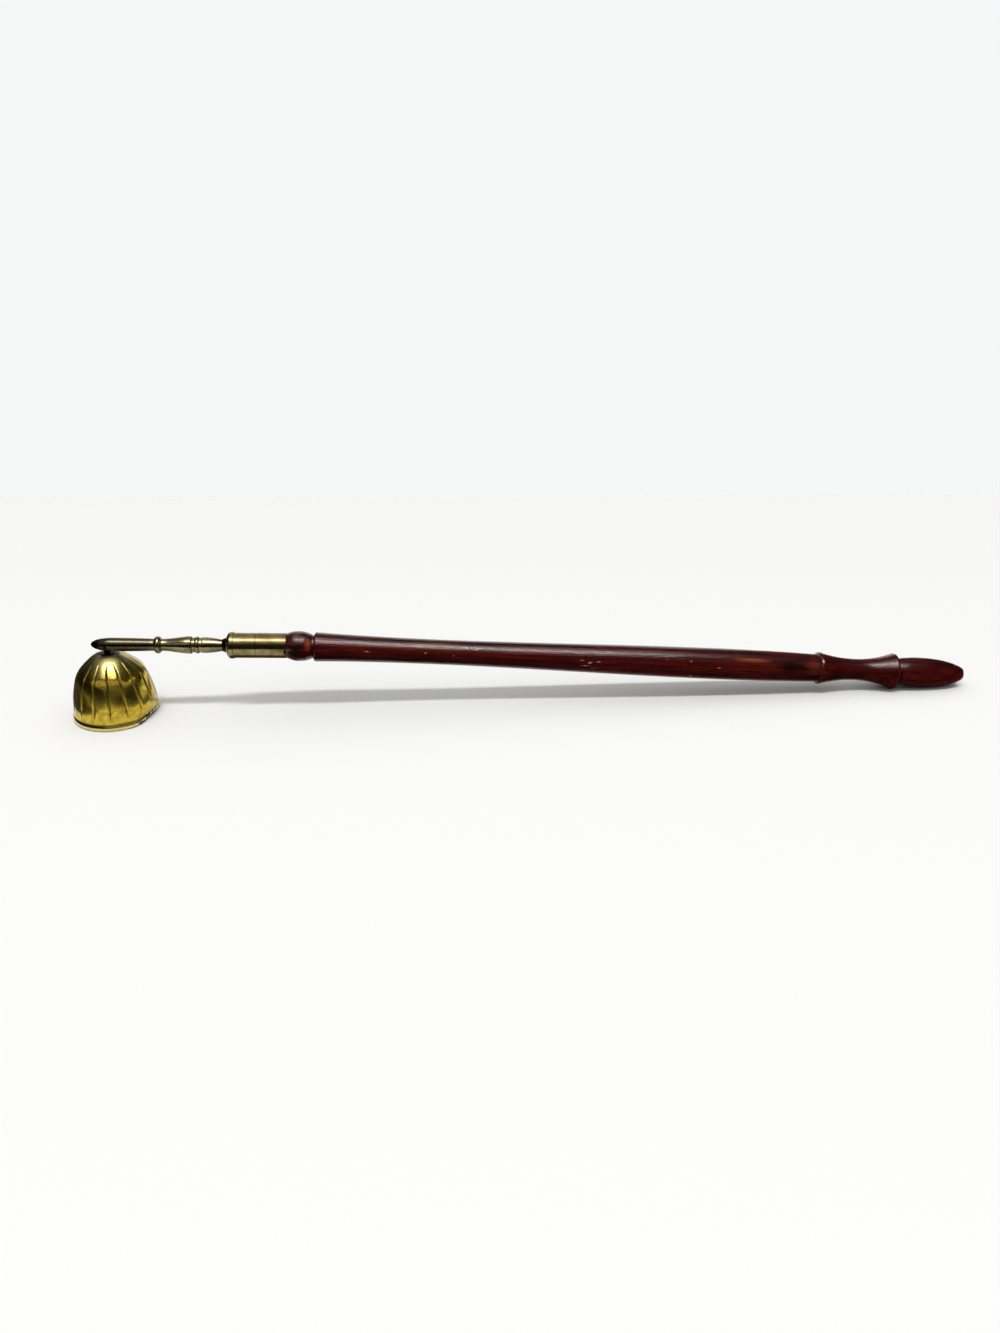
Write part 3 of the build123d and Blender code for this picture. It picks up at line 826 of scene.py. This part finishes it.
def make_front_ferrule():
    """Conical nose, rounded flange and the front half of the tube."""
    spigot_radius = ferrule_bore_radius - fit_clearance
    swell = flange_radius - cone_rear_radius
    round_radius = (flange_round ** 2 + swell ** 2) / (2 * flange_round)
    round_end = 180 - degrees(asin(swell / round_radius))
    outline = ([(stem_end, 0), (stem_end, cone_front_radius)]
               + straight((stem_end, cone_front_radius), (cone_end, cone_rear_radius), 6)
               + arc((cone_end + round_radius, cone_rear_radius), round_radius, 180, round_end, 12)[1:]
               + straight((flange_start, flange_radius), (ferrule_start - edge_break, flange_radius), 6)
               + [(ferrule_start, flange_radius - edge_break), (ferrule_start, ferrule_radius)]
               + straight((ferrule_start, ferrule_radius), (seam - ferrule_chamfer, ferrule_radius), 24)
               + [(seam, ferrule_radius - ferrule_chamfer), (seam, spigot_radius),
                  (seam + spigot_length, spigot_radius), (seam + spigot_length, 0)])
    return turned("ferrule_front_half", outline, stem_place)


def make_rear_ferrule():
    """Rear half of the tube, open at both ends."""
    end_radius = ferrule_radius - ferrule_chamfer
    tube_start = seam + ferrule_chamfer
    tube_end = seat - ferrule_chamfer
    outline = ([(seam, ferrule_bore_radius), (seam, end_radius)]
               + straight((seam, end_radius), (tube_start, ferrule_radius), 1)
               + straight((tube_start, ferrule_radius), (tube_end, ferrule_radius), 32)
               + [(seat, end_radius), (seat, ferrule_bore_radius)])
    return turned("ferrule_rear_half", outline, stem_place, closed=True)


def handle_outline():
    """Tenon, ball, groove, long swelling shaft, two collars with a waisted neck, and the knob."""
    shoulder_end = shaft_start + shoulder_chamfer
    shaft_run = shaft_end - shoulder_end
    shaft = [(shoulder_end, shaft_front_radius),
             (shoulder_end + shaft_taper_share * shaft_run, shaft_taper_radius),
             (shoulder_end + shaft_waist_share * shaft_run, shaft_waist_radius),
             (shoulder_end + shaft_belly_share * shaft_run, shaft_belly_radius),
             (shaft_end, shaft_rear_radius)]
    front_centre = (front_crest, front_collar_radius - front_collar_crest)
    rear_centre = (rear_crest, rear_collar_radius - rear_collar_crest)
    front_edge = arc(front_centre, front_collar_crest, 180 - collar_slope_angle, neck_front_angle, 12)
    rear_edge = arc(rear_centre, rear_collar_crest, neck_rear_angle, knob_slope_angle, 14)
    neck = [front_edge[-1], (front_crest + neck_waist_share * neck_length, neck_radius), rear_edge[0]]
    neck_slopes = [-1 / tan(radians(neck_front_angle)), 0, -1 / tan(radians(neck_rear_angle))]
    half_length = knob_taper_length / sqrt(1 - (knob_end_radius / knob_radius) ** 2)
    end_angle = degrees(asin(knob_end_radius / knob_radius))
    knob = [(knob_middle + half_length * cos(radians(a)), knob_radius * sin(radians(a)))
            for a in np.linspace(90, end_angle, 40)]
    swell_slope = 2 * (knob_radius - knob_front_radius) / knob_swell_length
    tenon_radius = ferrule_bore_radius - fit_clearance
    return ([(-tenon_length, 0), (-tenon_length, tenon_radius), (0, tenon_radius), (0, ball_end_radius)]
            + arc_through((0, ball_end_radius), (ball_length / 2, ball_radius),
                          (ball_length, ball_end_radius), 30)[1:]
            + [(ball_length + edge_break, handle_groove_radius),
               (shaft_start - edge_break, handle_groove_radius)]
            + straight((shaft_start, shaft_front_radius - shoulder_chamfer),
                       (shoulder_end, shaft_front_radius), 5)
            + curve(shaft, shaft_slope_shares, 60)[1:]
            + straight((shaft_end, shaft_rear_radius), front_edge[0], 4)
            + front_edge[1:] + curve(neck, neck_slopes, 40)[1:] + rear_edge[1:]
            + straight(rear_edge[-1], (knob_start, knob_front_radius), 4)
            + curve([(knob_start, knob_front_radius), (knob_middle, knob_radius)], [swell_slope, 0], 24)[1:]
            + knob[1:] + [(handle_end, 0)])


def settle_handle(point):
    """Bends the ball's front to its seat on the ferrule, and gives the wood its slight unevenness."""
    fade = min(max(1 - point.x / (ball_length / 2), 0), 1)
    shrink = wood_ripple * (noise.noise(point / wood_ripple_size) - 1) / 2
    girth = hypot(point.y, point.z)
    if girth > 0 and point.x > ball_length:
        point = Vector((point.x, point.y * (1 + shrink / girth), point.z * (1 + shrink / girth)))
    return Matrix.Rotation(-radians(set_angle) * fade, 3, "Y") @ point


def make_handle():
    """The wooden handle in one turning."""
    return turned("turned_handle", handle_outline(), handle_place, reach=wood_relief_reach,
                  shape=settle_handle)


dress(make_bell(), "bell", "bell_brass", bell_brass, "bell")
dress(make_stem(), "handle_and_stem", "stem_brass", stem_brass, "stem")
dress(make_front_ferrule(), "handle_and_stem", "ferrule_brass", ferrule_brass, "front_ferrule")
dress(make_rear_ferrule(), "handle_and_stem", "ferrule_brass", ferrule_brass, "rear_ferrule")
dress(make_handle(), "handle_and_stem", "handle_wood", handle_wood, "handle")
for node in ("bell_lug", "crown_washer", "pivot_pin"):
    solid = frame["nodes"][node]
    solid.data.materials.clear()
    solid.data.materials.append(hinge_brass_tarnish_and_shade)

# Camera, from the photograph's viewing angle; the image is 1000 by 1333 pixels
focal_pixels = 1080
image_height = 1333
film_width = 36
camera_pitch = 25.479
camera_heading = 3.895
camera_roll = -0.1
eye_beside_pivot = 113.26
eye_distance = 350.61
eye_height = 180.91
camera_eye = Vector((pivot.x / mm + eye_beside_pivot, -eye_distance, eye_height))
camera_data = bpy.data.cameras.new("camera")
camera_data.sensor_width = film_width
camera_data.lens = focal_pixels / image_height * film_width
camera = bpy.data.objects.new("camera", camera_data)
camera.matrix_world = (Matrix.Translation(camera_eye * mm)
                       @ Matrix.Rotation(-radians(camera_heading), 4, "Z")
                       @ Matrix.Rotation(radians(90 - camera_pitch), 4, "X")
                       @ Matrix.Rotation(radians(camera_roll), 4, "Z"))
bpy.context.scene.collection.objects.link(camera)
bpy.context.scene.camera = camera

# Stage: a white table, set square to the camera, and cards that only reflections see
table_rear = 258
table_front = -620
table_half_width = 1400


def plane(name, corners, finish, heading):
    """A flat stage piece from its four corners, turned to a heading."""
    mesh = bpy.data.meshes.new(name)
    mesh.from_pydata([Vector(c) * mm for c in corners], [], [(0, 1, 2, 3)])
    mesh.materials.append(finish)
    made = bpy.data.objects.new(name, mesh)
    made.rotation_euler = (0, 0, -radians(heading))
    bpy.context.scene.collection.objects.link(made)
    return made


def reflected_card(name, corners, level, heading):
    """A card that shows only in glossy reflections."""
    made = plane(name, corners, even_card(name, level), heading)
    made.visible_camera = False
    made.visible_diffuse = False
    made.visible_transmission = False
    made.visible_shadow = False


def upright(front, left, right, bottom, top):
    """Corners of a card that faces the camera's side."""
    return [(left, front, bottom), (right, front, bottom), (right, front, top), (left, front, top)]


def sideways(left, front, rear, bottom, top):
    """Corners of an upright card beside the table."""
    return [(left, front, bottom), (left, front, top), (left, rear, top), (left, rear, bottom)]


def level_card(height, left, right, front, rear, slant=0):
    """Corners of a level card, its left edge slanting outward to the front."""
    return [(left - slant, front, height), (right, front, height),
            (right, rear, height), (left, rear, height)]


plane("table", level_card(0, -table_half_width, table_half_width, table_front, table_rear), matt_white(),
      camera_heading)

# Light: a long strip overhead, leaning to the camera, and a fill from above that fades toward the
# table's level, which darkens the shadow right under the part. Reflections see glowing bands in place
# of the strip, each from one elevation in degrees to another at its own level.
strip_height = 4000
strip_lean = 0.31
strip_left = -1500
strip_right = 1100
strip_width = 480
strip_watts = 102
fill_level = 0.845
fill_start_share = 0.3        # rise of the sight line where the fill starts, and where it is whole
fill_whole_share = 0.7
glow_height = 4200
glow_right = 1500
glow_bands = [(40, 47, 0.2), (47, 56, 0.6), (56, 64, 1.5), (64, 71, 3.0), (71, 78, 10.0), (78, 88, 2.4),
              (88, 98, 1.2), (98, 106, 0.7)]

# Dark and dim cards, which give the polished pieces their dark bands: name, facing, the sizes that the
# facing takes, and level. Those of the room are set square to the camera and those close to the part
# are not turned.
black = 0.012
dim = 0.3
room_cards = [
    ("dark_front_right", upright, (-900, -250, 1800, -300, 620), black),
    ("dim_front_right", upright, (-900, -250, 1800, 620, 860), 0.1),
    ("dark_front_left", upright, (-900, -900, -250, -300, 520), black),
    ("dim_front_left", upright, (-900, -900, -250, 520, 1000), dim),
    ("dark_front_far_left", upright, (-900, -1800, -900, -300, 1000), black),
    ("dark_left", sideways, (-900, -900, 1400, -300, 700), black),
    ("dim_back", upright, (2500, 800, 5000, 60, 3000), 0.06),
    ("dark_table_front", level_card, (0.3, -900, 900, -899, -700), black),
    ("dark_table_left", level_card, (0.4, -899, -450, -899, 500), black),
    ("dim_table_left", level_card, (0.3, -450, -172, -700, -60), 0.28),
    ("dark_table_beside", level_card, (0.3, -450, -172, -60, 500), 0.06),
    ("ceiling_far_left", level_card, (4400, -8000, -1500, -5000, 7000), 0.12),
    ("ceiling_left", level_card, (4400, -1500, -400, -5000, 7000), 0.55),
    ("ceiling_right", level_card, (4400, -400, 8000, -5000, 7000), 0.04),
]
near_cards = [
    ("dark_before_stem", level_card, (23.1, -300, -84, -330, -13), black),
    ("dim_before_bell", level_card, (23, -160, -84, -330, -45), 0.13),
    ("dim_near_bell", level_card, (23, -160, -84, -45, -22), 0.22),
    ("dim_beside_bell", level_card, (23, -160, -84, -22, -14), 0.5),
    ("dark_before_handle", level_card, (0.5, -86, 260, -600, -2, 96), black),
    ("dark_under_ferrule", level_card, (0.5, -112, -86, -9, 60), 0.1),
    ("dark_beside_knob", sideways, (262, -300, 200, 0.6, 160), black),
    ("dark_beside_ball", sideways, (-86.6, -40, -5.5, 0.6, 22.9), 0.03),
]
for card, facing, sizes, level in room_cards:
    reflected_card(card, facing(*sizes), level, camera_heading)
for low, high, level in glow_bands:
    front = -glow_height / tan(radians(low))
    rear = -glow_height / tan(radians(high))
    reflected_card(f"glow_{low}", level_card(glow_height, strip_left, glow_right, front, rear), level,
                   camera_heading)
for card, facing, sizes, level in near_cards:
    reflected_card(card, facing(*sizes), level, 0)

strip_data = bpy.data.lights.new("strip", "AREA")
strip_data.shape = "RECTANGLE"
strip_data.size = (strip_right - strip_left) * mm
strip_data.size_y = strip_width * mm
strip_data.energy = strip_watts
strip = bpy.data.objects.new("strip", strip_data)
strip.location = Vector(((strip_left + strip_right) / 2, -strip_lean * strip_height, strip_height)) * mm
strip.rotation_euler = (-atan(strip_lean), 0, 0)
strip.visible_glossy = False
bpy.context.scene.collection.objects.link(strip)

world = bpy.data.worlds.new("pale_room")
world.use_nodes = True
world.node_tree.nodes.clear()
seen = add(world.node_tree, "ShaderNodeLightPath")
direct = add(world.node_tree, "ShaderNodeMath", {0: seen.outputs["Is Camera Ray"],
                                                 1: seen.outputs["Is Glossy Ray"]}, operation="MAXIMUM")
shown = add(world.node_tree, "ShaderNodeMath", {0: direct.outputs[0], 1: seen.outputs["Is Transmission Ray"]},
            operation="MAXIMUM")
way = add(world.node_tree, "ShaderNodeTexCoord").outputs["Generated"]
upward = add(world.node_tree, "ShaderNodeSeparateXYZ", {0: way}).outputs["Z"]
level = add(world.node_tree, "ShaderNodeMapRange", {"Value": upward, "From Min": fill_start_share,
                                                    "From Max": fill_whole_share,
                                                    "To Max": fill_level}).outputs[0]
fill = add(world.node_tree, "ShaderNodeBackground", {"Color": (1, 1, 1, 1), "Strength": level})
wall = add(world.node_tree, "ShaderNodeBackground", {"Color": linear("#f6f7f7"), "Strength": 1.0})
room = add(world.node_tree, "ShaderNodeMixShader", {0: shown.outputs[0], 1: fill.outputs[0],
                                                    2: wall.outputs[0]})
add(world.node_tree, "ShaderNodeOutputWorld", {"Surface": room.outputs[0]})
bpy.context.scene.world = world
bpy.context.scene.view_settings.view_transform = "Standard"
